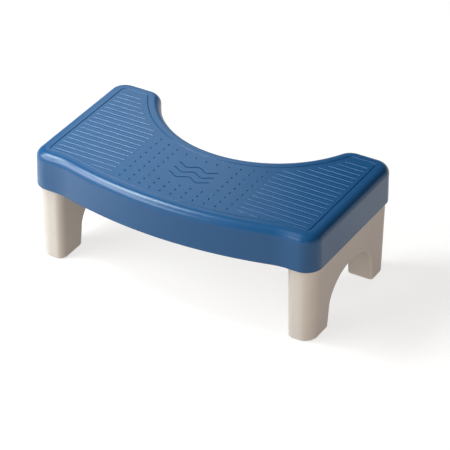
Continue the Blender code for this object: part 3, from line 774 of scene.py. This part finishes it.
def web_body(legs, deck):
    """Cross webs inside a leg frame, from the arch's spring up, kept half way into its walls."""
    bm = bmesh.new()
    for y in evenly(*leg_ends(legs), legs.web_pitch):
        half = legs.web_wall / 2
        high = legs.plug_top - legs.web_drop
        add_box(bm, (0, y - half, legs.arch_spring), (deck.length, y + half, high))
    webs = new_object("web_body", bm)
    bm = leg_block(legs, legs.wall / 2, legs.plug_top)
    taper(bm, legs, deck.skirt_low)
    combine(webs, new_object("web_bound", bm), "INTERSECT")
    return webs


def window_body(deck, under, legs):
    """Holes in the sockets' inner walls that the snap barbs click into."""
    bm = bmesh.new()
    room = under.window_clearance
    low_z = deck.skirt_low + legs.barb_rise - room
    high_z = low_z + legs.barb_height + 2 * room
    half = legs.barb_width / 2 + room
    far = legs.inner_x - under.plug_clearance - 2 * under.socket_wall
    for side in (-1, 1):
        low_x, high_x = sorted((side * far, side * legs.inner_x))
        for y in barb_places(legs):
            add_box(bm, (low_x, y - half, low_z), (high_x, y + half, high_z))
    return new_object("window_body", bm)


class FOOTSTOOL_OT_deck(bpy.types.Operator):
    """Moulds the C-shaped deck with its groove, grip pattern, waves, stiffeners and sockets"""

    bl_idname = "footstool.deck"
    bl_label = "Deck"

    def execute(self, context):
        scene = context.scene
        deck, grip = scene.footstool_deck, scene.footstool_grip
        under, legs = scene.footstool_underside, scene.footstool_legs
        bm = bmesh.new()
        outer, cap = deck_hull(bm, deck, 0, deck.top, deck.fillet)
        sink_groove(bm, deck, cap)
        outer_faces = set(bm.faces)
        ceiling = deck.top - deck.top_wall
        inner, _ = deck_hull(bm, deck, deck.wall, ceiling, deck.fillet - deck.wall)
        bmesh.ops.reverse_faces(bm, faces=[f for f in bm.faces if f not in outer_faces])
        bmesh.ops.bridge_loops(bm, edges=outer + inner)
        bmesh.ops.recalc_face_normals(bm, faces=bm.faces)
        piece = new_object("deck_moulding", bm, satin_blue(scene.footstool_finish))
        cross = plate_body("cross_plates", cross_plates(deck, under, legs), bound_body(deck))
        combine(piece, cross, "UNION")
        along = plate_body("long_plates", long_plates(deck, under, legs), bound_body(deck))
        combine(piece, along, "UNION")
        combine(piece, window_body(deck, under, legs), "DIFFERENCE")
        combine(piece, grip_body(deck, grip), "UNION")
        combine(piece, wave_body(deck, grip), "DIFFERENCE")
        finish_piece(piece, "top_deck")
        return {"FINISHED"}


def leg_limits(legs, inset):
    """Both ends of a leg frame, where its feet end at the arch, and its lower edge, moved in."""
    front, rear = leg_ends(legs)
    front_end = front + legs.draft + legs.front_foot - inset
    rear_end = rear - legs.draft - legs.rear_foot + inset
    low = legs.foot_low + (legs.foot_floor if inset else 0)
    return front + inset, rear - inset, front_end, rear_end, low


def leg_block(legs, inset, high):
    """A leg frame's block, moved in by a distance: its side outline drawn across, then rounded."""
    bm = bmesh.new()
    inner_x = legs.inner_x + inset
    front, rear, front_end, rear_end, low = leg_limits(legs, inset)
    foot = [bm.verts.new((inner_x, y, low)) for y in (rear, rear_end)]
    spring = bm.verts.new((inner_x, rear_end - legs.arch_flare, legs.arch_spring))
    middle = (front_end + rear_end) / 2
    half = (rear_end - front_end) / 2 - legs.arch_flare
    centre = (inner_x, middle, legs.arch_spring)
    end = spin_vert(bm, spring, centre, (1, 0, 0), math.pi, arc_steps(half, math.pi))
    arch = [v for v in bm.verts if v not in foot]
    scale_from(bm, arch, centre, (1, 1, (legs.arch_rise + inset) / half))
    rest = [(front_end, low), (front, low), (front, high), (rear, high)]
    rest = [bm.verts.new((inner_x, y, z)) for y, z in rest]
    for start, stop in zip([*foot, end, *rest], [foot[1], spring, *rest, foot[0]]):
        bm.edges.new((start, stop))
    bmesh.ops.contextual_create(bm, geom=bm.edges[:])
    across = legs.outer_x - legs.inner_x - 2 * inset
    made = bmesh.ops.extrude_face_region(bm, geom=bm.faces[:], use_keep_orig=True)
    moved = [g for g in made["geom"] if isinstance(g, bmesh.types.BMVert)]
    bmesh.ops.translate(bm, verts=moved, vec=(across, 0, 0))
    bmesh.ops.recalc_face_normals(bm, faces=bm.faces)
    outer_x = inner_x + across
    for x, radius in ((inner_x, legs.inner_corner), (outer_x, legs.outer_corner)):
        corners = [
            e
            for e in bm.edges
            if all(abs(v.co.x - x) < MERGE for v in e.verts)
            and abs(e.verts[0].co.y - e.verts[1].co.y) < MERGE
            and min(abs(e.verts[0].co.y - front), abs(e.verts[0].co.y - rear)) < MERGE
        ]
        round_edges(bm, corners, radius - inset, arc_steps(radius, QUARTER))
    if not inset:
        rims = [
            e
            for e in bm.edges
            if min(abs(e.verts[0].co.x - x) for x in (inner_x, outer_x)) < MERGE
            and abs(e.verts[0].co.x - e.verts[1].co.x) < MERGE
            and all(front_end - MERGE < v.co.y < rear_end + MERGE for v in e.verts)
            and max(v.co.z for v in e.verts) < high - MERGE
        ]
        round_edges(bm, rims, legs.arch_edge, RIM_FACETS)
        lowest = [
            e for e in edges_at(bm, low) if any(abs(f.normal.z) < UPRIGHT for f in e.link_faces)
        ]
        round_edges(bm, lowest, legs.foot_edge, FOOT_FACETS)
    return bm


def edges_at(bm, z):
    """The edges that lie at one height."""
    return [e for e in bm.edges if all(abs(v.co.z - z) < MERGE for v in e.verts)]


def taper(bm, legs, skirt_low):
    """Leans the sides in from the skirt down to the floor."""
    middle_x = (legs.inner_x + legs.outer_x) / 2
    half_x = (legs.outer_x - legs.inner_x) / 2
    front, rear = leg_ends(legs)
    for vert in bm.verts:
        down = max(0, skirt_low - vert.co.z) / skirt_low
        vert.co.x = middle_x + (vert.co.x - middle_x) * (1 - down * legs.draft / half_x)
        before_arch = 1 - (vert.co.y - front) / legs.front_foot
        behind_arch = 1 - (rear - vert.co.y) / legs.rear_foot
        vert.co.y += legs.draft * down * (max(0, before_arch) - max(0, behind_arch))


def scale_from(bm, verts, middle, factors):
    """Scales about a point."""
    bmesh.ops.scale(bm, verts=verts, vec=factors, space=Matrix.Translation(-Vector(middle)))


def draw_face(bm, face, vec=(0, 0, 0), grow=(1, 1, 1), middle=(0, 0, 0)):
    """Extrudes a face, moves it, and grows it about a point."""
    drawn = bmesh.ops.extrude_discrete_faces(bm, faces=[face])["faces"][0]
    bmesh.ops.translate(bm, verts=drawn.verts, vec=vec)
    scale_from(bm, drawn.verts, middle, grow)
    return drawn


def add_flange_and_plug(bm, legs, skirt_low):
    """The thin flange under the skirt, and the plug above it."""
    half_x = (legs.outer_x - legs.inner_x) / 2
    half_y = legs.length / 2
    middle = (half_x + legs.inner_x, leg_middle(legs), 0)
    top = max(bm.faces, key=lambda f: f.calc_center_median().z)
    out = ((half_x + legs.flange_reach) / half_x, (half_y + legs.flange_reach) / half_y, 1)
    back = (1 / out[0], 1 / out[1], 1)
    top = draw_face(bm, top, grow=out, middle=middle)
    flange = list(top.edges)
    top = draw_face(bm, top, (0, 0, legs.flange_height))
    flange += top.edges
    top = draw_face(bm, top, grow=back, middle=middle)
    flange_top = skirt_low - legs.flange_gap
    top = draw_face(bm, top, (0, 0, legs.plug_top - flange_top))
    round_edges(bm, list(top.edges), legs.plug_edge, EDGE_FACETS)
    round_edges(bm, flange, legs.flange_edge, EDGE_FACETS)


def barb_body(legs, deck):
    """Wedges that hold the plug: a ramp on top to go in, and a flat step below."""
    bm = bmesh.new()
    root = legs.inner_x + legs.wall / 2
    tip = legs.inner_x - legs.barb_reach
    low = deck.skirt_low + legs.barb_rise
    for y in barb_places(legs):
        half = legs.barb_width / 2
        verts = add_box(bm, (tip, y - half, low), (root, y + half, low + legs.barb_height))
        for vert in verts:
            if vert.co.x < legs.inner_x and vert.co.z > low + legs.barb_height / 2:
                vert.co.x = legs.inner_x
    return new_object("barb_body", bm)


def sole_block(low, high, soles, grow):
    """A sole's plain body with rounded corners, grown by a distance."""
    bm = bmesh.new()
    start = (low.x - grow, low.y - grow, low.z - grow)
    stop = (high.x + grow, high.y + grow, low.z + soles.thickness + grow)
    add_box(bm, start, stop)
    upright = [e for e in bm.edges if abs(e.verts[0].co.z - e.verts[1].co.z) > soles.thickness / 2]
    steps = arc_steps(soles.corner, QUARTER) + EXTRA_FACETS
    round_edges(bm, upright, soles.corner + grow, steps)
    return bm


def stem_body(low, high, soles, grow):
    """A sole's mushroom stem, grown by a distance."""
    bm = bmesh.new()
    x, y = (low.x + high.x) / 2, (low.y + high.y) / 2
    bottom = low.z + soles.thickness / 2
    neck = high.z - soles.head_height
    for radius, tip, start, stop in (
        (soles.stem_radius, soles.stem_radius, bottom, neck + soles.head_height / 4),
        (soles.head_radius, soles.stem_radius, neck, high.z),
    ):
        middle = Matrix.Translation((x, y, (start + stop) / 2))
        bmesh.ops.create_cone(
            bm,
            cap_ends=True,
            segments=STEM_FACETS,
            radius1=radius + grow,
            radius2=tip + grow,
            depth=stop - start,
            matrix=middle,
        )
    return new_object("stem_body", bm)


class FOOTSTOOL_OT_legs(bpy.types.Operator):
    """Moulds the two arched leg frames, with their flanges, plugs and snap barbs"""

    bl_idname = "footstool.legs"
    bl_label = "Leg frames"

    def execute(self, context):
        scene = context.scene
        deck, legs, soles = scene.footstool_deck, scene.footstool_legs, scene.footstool_soles
        flange_low = deck.skirt_low - legs.flange_gap - legs.flange_height
        material = satin_cream(scene.footstool_finish)
        for side, name in ((1, "right"), (-1, "left")):
            bm = leg_block(legs, 0, flange_low)
            taper(bm, legs, deck.skirt_low)
            add_flange_and_plug(bm, legs, deck.skirt_low)
            piece = new_object(f"leg_moulding_{name}", bm, material)
            bm = leg_block(legs, legs.wall, legs.plug_top + legs.wall)
            taper(bm, legs, deck.skirt_low)
            combine(piece, new_object("leg_hollow", bm), "DIFFERENCE")
            combine(piece, web_body(legs, deck), "UNION")
            combine(piece, barb_body(legs, deck), "UNION")
            for foot in ("front", "rear"):
                low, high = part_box(f"foot_pad_{foot}_right")
                recess = new_object("recess", sole_block(low, high, soles, soles.clearance))
                combine(piece, recess, "DIFFERENCE")
                hole = stem_body(low, high, soles, soles.clearance)
                combine(piece, hole, "DIFFERENCE")
            if side < 0:
                flip(piece)
            finish_piece(piece, f"leg_frame_{name}")
        return {"FINISHED"}


def flip(piece):
    """Turns a right-hand piece into the left-hand one."""
    bm = bmesh.new()
    bm.from_mesh(piece.data)
    bmesh.ops.scale(bm, verts=bm.verts, vec=(-1, 1, 1))
    bmesh.ops.reverse_faces(bm, faces=bm.faces)
    bm.to_mesh(piece.data)
    bm.free()


class FOOTSTOOL_OT_soles(bpy.types.Operator):
    """Moulds the four rubber soles with their treads and stems"""

    bl_idname = "footstool.soles"
    bl_label = "Soles"

    def execute(self, context):
        scene = context.scene
        soles = scene.footstool_soles
        material = sole_rubber(scene.footstool_finish)
        for side in ("right", "left"):
            for foot in ("front", "rear"):
                low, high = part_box(f"foot_pad_{foot}_{side}")
                bm = sole_block(low, high, soles, 0)
                round_edges(bm, edges_at(bm, low.z), soles.edge, EDGE_FACETS)
                piece = new_object(f"sole_{foot}_{side}", bm, material)
                combine(piece, stem_body(low, high, soles, 0), "UNION")
                combine(piece, tread_body(low, high, soles), "DIFFERENCE")
                finish_piece(piece, f"foot_pad_{foot}_{side}")
        return {"FINISHED"}


def tread_body(low, high, soles):
    """Grooves across the underside of a sole."""
    bm = bmesh.new()
    half = soles.tread_width / 2
    start, stop = low.x + soles.tread_inset, high.x - soles.tread_inset
    count = round((high.y - low.y - 2 * soles.tread_inset) / soles.tread_pitch)
    for row in range(count + 1):
        y = (low.y + high.y) / 2 + (row - count / 2) * soles.tread_pitch
        floor = low.z - soles.tread_depth
        add_box(bm, (start, y - half, floor), (stop, y + half, low.z + soles.tread_depth))
    return new_object("tread_body", bm)


def add(tree, kind, sockets=(), **settings):
    """Adds a node, sets its options, and fills its sockets with values or with links."""
    made = tree.nodes.new(kind)
    for name, value in settings.items():
        setattr(made, name, value)
    for socket, value in dict(sockets).items():
        if isinstance(value, bpy.types.NodeSocket):
            tree.links.new(value, made.inputs[socket])
        else:
            made.inputs[socket].default_value = value
    return made


# Polypropylene's index, from which a rubber's differs little
PLASTIC_IOR = 1.49
# What a pale streak gains in every channel, so that it shows in a deep blue too
WHITENING = 0.002


def moulded(name, pigment, roughness, finish, bump):
    """A moulded surface: faint streaks in the pigment, soft haze, and the mould's fine grain.

    The streaks are about 45 mm long, as pigment is drawn out where the melt flows, and the haze has
    patches of 18 mm, as from fingers. The real grain is 0.1 to 0.3 mm across, too fine to show, so it
    is drawn coarser, at 1.2 mm.
    """
    material = bpy.data.materials.new(name)
    material.use_nodes = True
    material.diffuse_color = (*pigment, 1)
    tree = material.node_tree
    tree.nodes.clear()
    place = add(tree, "ShaderNodeTexCoord").outputs["Object"]
    streaks = add(
        tree,
        "ShaderNodeTexNoise",
        {"Vector": place, "Scale": 1 / finish.streak, "Detail": 3.0, "Distortion": 0.4},
    )
    hazes = add(
        tree,
        "ShaderNodeTexNoise",
        {"Vector": place, "Scale": 1 / finish.haze, "Detail": 4.0, "Roughness": 0.6},
    )
    grains = add(
        tree,
        "ShaderNodeTexNoise",
        {"Vector": place, "Scale": 1 / finish.grain, "Detail": 2.0, "Roughness": 0.5},
    )
    pale = tuple(min(1, c * (1 + finish.streak_spread) + WHITENING) for c in pigment)
    deep = tuple(c * (1 - finish.streak_spread) for c in pigment)
    tint = add(
        tree,
        "ShaderNodeMix",
        {0: streaks.outputs["Fac"], 6: (*deep, 1), 7: (*pale, 1)},
        data_type="RGBA",
    )
    smoother, rougher = roughness - finish.haze_spread, roughness + finish.haze_spread
    rough = add(
        tree,
        "ShaderNodeMapRange",
        {"Value": hazes.outputs["Fac"], "To Min": smoother, "To Max": rougher},
    )
    grain = add(
        tree,
        "ShaderNodeBump",
        {"Height": grains.outputs["Fac"], "Strength": bump, "Distance": finish.grain_depth},
    )
    shader = add(
        tree,
        "ShaderNodeBsdfPrincipled",
        {
            "Base Color": tint.outputs[2],
            "Roughness": rough.outputs["Result"],
            "Normal": grain.outputs["Normal"],
            "IOR": PLASTIC_IOR,
            "Specular IOR Level": finish.gloss,
        },
    )
    add(tree, "ShaderNodeOutputMaterial", {"Surface": shader.outputs["BSDF"]})
    return material


def satin_blue(finish):
    """Blue polypropylene, injection moulded in a spark-eroded mould.

    Its fine grain spreads each highlight, so the eye sees a satin sheen that is wide and soft.
    """
    name = "Satin blue polypropylene"
    return moulded(name, finish.deck_colour, finish.deck_roughness, finish, bump=0.8)


def satin_cream(finish):
    """Cream polypropylene from the same kind of mould, with the same fine grain.

    Pale pigment scatters most of the light, so the eye sees a duller, nearly even surface.
    """
    name = "Satin cream polypropylene"
    return moulded(name, finish.leg_colour, finish.leg_roughness, finish, bump=0.8)


def sole_rubber(finish):
    """Thermoplastic rubber, moulded.

    Its soft skin copies the mould's full roughness, so the eye sees a dull grey with no highlight.
    """
    name = "Grey moulded rubber"
    return moulded(name, finish.sole_colour, finish.sole_roughness, finish, bump=1.0)


class FOOTSTOOL_OT_studio(bpy.types.Operator):
    """Sets up the floor, the lamps, the room and the camera"""

    bl_idname = "footstool.studio"
    bl_label = "Studio"

    def execute(self, context):
        studio = context.scene.footstool_studio
        add_floor(studio)
        add_lamps(studio)
        light_room(studio)
        aim_camera(studio)
        view = context.scene.view_settings
        view.view_transform = "Standard"
        return {"FINISHED"}


def seen_rays(tree):
    """1 on the rays that show the background: the camera's, and those off gloss or through glass."""
    path = add(tree, "ShaderNodeLightPath").outputs
    seen = path["Is Camera Ray"]
    for name in ("Is Glossy Ray", "Is Transmission Ray"):
        added = add(
            tree, "ShaderNodeMath", {0: seen, 1: path[name]}, operation="ADD", use_clamp=True
        )
        seen = added.outputs[0]
    return seen


def add_floor(studio):
    """A plain matt floor: nearly white where it is seen, and dimmer as a source of light."""
    bm = bmesh.new()
    bmesh.ops.create_grid(bm, x_segments=1, y_segments=1, size=studio.floor_size / 2)
    material = bpy.data.materials.new("Matt pale floor")
    material.use_nodes = True
    tree = material.node_tree
    tree.nodes.clear()
    bounce = add(tree, "ShaderNodeBsdfDiffuse", {"Color": (*studio.bounce_colour, 1)})
    pale = add(tree, "ShaderNodeBsdfDiffuse", {"Color": (*studio.floor_colour, 1)})
    glow = add(tree, "ShaderNodeEmission", {"Color": (1, 1, 1, 1), "Strength": studio.lift})
    lifted = add(tree, "ShaderNodeAddShader", {0: pale.outputs[0], 1: glow.outputs[0]})
    surface = add(
        tree,
        "ShaderNodeMixShader",
        {0: seen_rays(tree), 1: bounce.outputs[0], 2: lifted.outputs[0]},
    )
    add(tree, "ShaderNodeOutputMaterial", {"Surface": surface.outputs[0]})
    new_object("floor", bm, material)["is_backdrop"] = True


# The middle of the footstool, which most lamps face
MIDDLE = (0, 0, 0.10)
# Each lamp: the turn from +X and the height of its direction in degrees, its distance and width in
# metres, the point that it faces, the spread of its beam in degrees, and whether it leaves glints
LAMPS = (
    ("key", 214, 31, 2.2, 1.0, MIDDLE, 180, True),
    ("high", 210, 64, 0.95, 0.38, (-0.2, 0, 0.12), 180, True),
    ("sheen", 120, 33, 0.9, 0.4, (-0.12, 0, 0.12), 180, True),
    ("front", 240, 25, 2.2, 0.6, MIDDLE, 180, True),
    ("warm", 300, 12, 2.2, 1.0, MIDDLE, 180, False),
    ("side", 0, 12, 2.2, 1.0, MIDDLE, 180, False),
    ("pool", 225, 80, 0.60, 0.20, (-0.40, -0.31, 0), 50, True),
    ("rear", 90, 20, 2.2, 1.0, MIDDLE, 180, False),
)


def direction(turn, lift):
    """The way to a place that is turned from +X and lifted over the horizon."""
    return Vector((math.cos(turn) * math.cos(lift), math.sin(turn) * math.cos(lift), math.sin(lift)))


def add_lamps(studio):
    """Soft light that falls from the left, as from a window, and warm light from the right.

    The lamps are square and soft. One that leaves no glints only fills the shade.
    """
    for name, turn, lift, reach, width, aim, spread, glints in LAMPS:
        lamp = bpy.data.lights.new(name, "AREA")
        lamp.shape = "SQUARE"
        lamp.size = width
        lamp.energy = getattr(studio, f"{name}_power")
        lamp.color = getattr(studio, f"{name}_colour")
        lamp.spread = math.radians(spread)
        made = bpy.data.objects.new(name, lamp)
        away = direction(math.radians(turn), math.radians(lift))
        made.location = Vector(aim) + away * reach
        made.rotation_mode = "QUATERNION"
        made.rotation_quaternion = (-away).to_track_quat("-Z", "Y")
        made.visible_camera = False
        made.visible_glossy = glints
        bpy.context.scene.collection.objects.link(made)


def light_room(studio):
    """A dim room over a low backdrop, which is white where it is seen or mirrored."""
    world = bpy.data.worlds.new("Pale room")
    bpy.context.scene.world = world
    world.use_nodes = True
    tree = world.node_tree
    tree.nodes.clear()
    seen = add(tree, "ShaderNodeBackground", {"Color": (1, 1, 1, 1), "Strength": 1.0})
    lit = add(tree, "ShaderNodeBackground", {"Color": (1, 1, 1, 1), "Strength": studio.world_level})
    place = add(tree, "ShaderNodeTexCoord").outputs["Generated"]
    height = add(tree, "ShaderNodeSeparateXYZ", {"Vector": place}).outputs["Z"]
    low = add(
        tree, "ShaderNodeMath", {0: height, 1: math.sin(studio.backdrop)}, operation="LESS_THAN"
    )
    white = add(
        tree, "ShaderNodeMath", {0: low.outputs[0], 1: seen_rays(tree)}, operation="MULTIPLY"
    )
    mixed = add(
        tree,
        "ShaderNodeMixShader",
        {0: white.outputs[0], 1: lit.outputs[0], 2: seen.outputs[0]},
    )
    add(tree, "ShaderNodeOutputWorld", {"Surface": mixed.outputs[0]})


def aim_camera(studio):
    """The camera at the photograph's angle."""
    turn, lift, roll = studio.azimuth, studio.elevation, studio.roll
    back = direction(turn - QUARTER, lift)
    level = Vector((math.cos(turn), math.sin(turn), 0))
    upright = back.cross(level)
    right = level * math.cos(roll) + upright * math.sin(roll)
    up = upright * math.cos(roll) - level * math.sin(roll)
    camera = bpy.data.cameras.new("camera")
    camera.lens = studio.lens
    camera.clip_end = studio.floor_size * 2
    made = bpy.data.objects.new("camera", camera)
    turned = Matrix((right, up, back)).transposed().to_4x4()
    place = Vector(studio.aim) + back * studio.distance
    made.matrix_world = Matrix.Translation(place) @ turned
    bpy.context.scene.collection.objects.link(made)
    bpy.context.scene.camera = made


GROUPS = (
    ("footstool_deck", "Deck", FOOTSTOOL_PG_deck),
    ("footstool_grip", "Grip pattern", FOOTSTOOL_PG_grip),
    ("footstool_underside", "Underside", FOOTSTOOL_PG_underside),
    ("footstool_legs", "Leg frames", FOOTSTOOL_PG_legs),
    ("footstool_soles", "Soles", FOOTSTOOL_PG_soles),
    ("footstool_finish", "Finish", FOOTSTOOL_PG_finish),
    ("footstool_studio", "Studio", FOOTSTOOL_PG_studio),
)
OPERATORS = (FOOTSTOOL_OT_deck, FOOTSTOOL_OT_legs, FOOTSTOOL_OT_soles, FOOTSTOOL_OT_studio)


class FOOTSTOOL_PT_sidebar(bpy.types.Panel):
    """Lists the sizes, the finishes and the pieces to mould"""

    bl_idname = "FOOTSTOOL_PT_sidebar"
    bl_label = "Toilet footstool"
    bl_space_type = "VIEW_3D"
    bl_region_type = "UI"
    bl_category = "Footstool"

    def draw(self, context):
        for operator in OPERATORS:
            self.layout.operator(operator.bl_idname)
        for name, label, group in GROUPS:
            box = self.layout.box()
            box.label(text=label)
            for prop in group.__annotations__:
                box.prop(getattr(context.scene, name), prop)


def register():
    """Registers the groups, the operators and the panel."""
    for name, _, group in GROUPS:
        bpy.utils.register_class(group)
        setattr(bpy.types.Scene, name, PointerProperty(type=group))
    for made in (*OPERATORS, FOOTSTOOL_PT_sidebar):
        bpy.utils.register_class(made)


def unregister():
    """Takes them out again."""
    for made in (FOOTSTOOL_PT_sidebar, *OPERATORS):
        bpy.utils.unregister_class(made)
    for name, _, group in GROUPS:
        delattr(bpy.types.Scene, name)
        bpy.utils.unregister_class(group)


def main():
    """Moulds every piece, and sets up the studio."""
    for obj in list(bpy.data.objects):
        if obj.name in ("Cube", "Light", "Camera"):
            bpy.data.objects.remove(obj)
    register()
    bpy.ops.footstool.deck()
    bpy.ops.footstool.legs()
    bpy.ops.footstool.soles()
    bpy.ops.footstool.studio()
    boxes = {"cad": CAD_BOX, "visual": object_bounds()}
    {name: [list(corner) for corner in box] for name, box in boxes.items()}


if __name__ == "__main__":
    main()
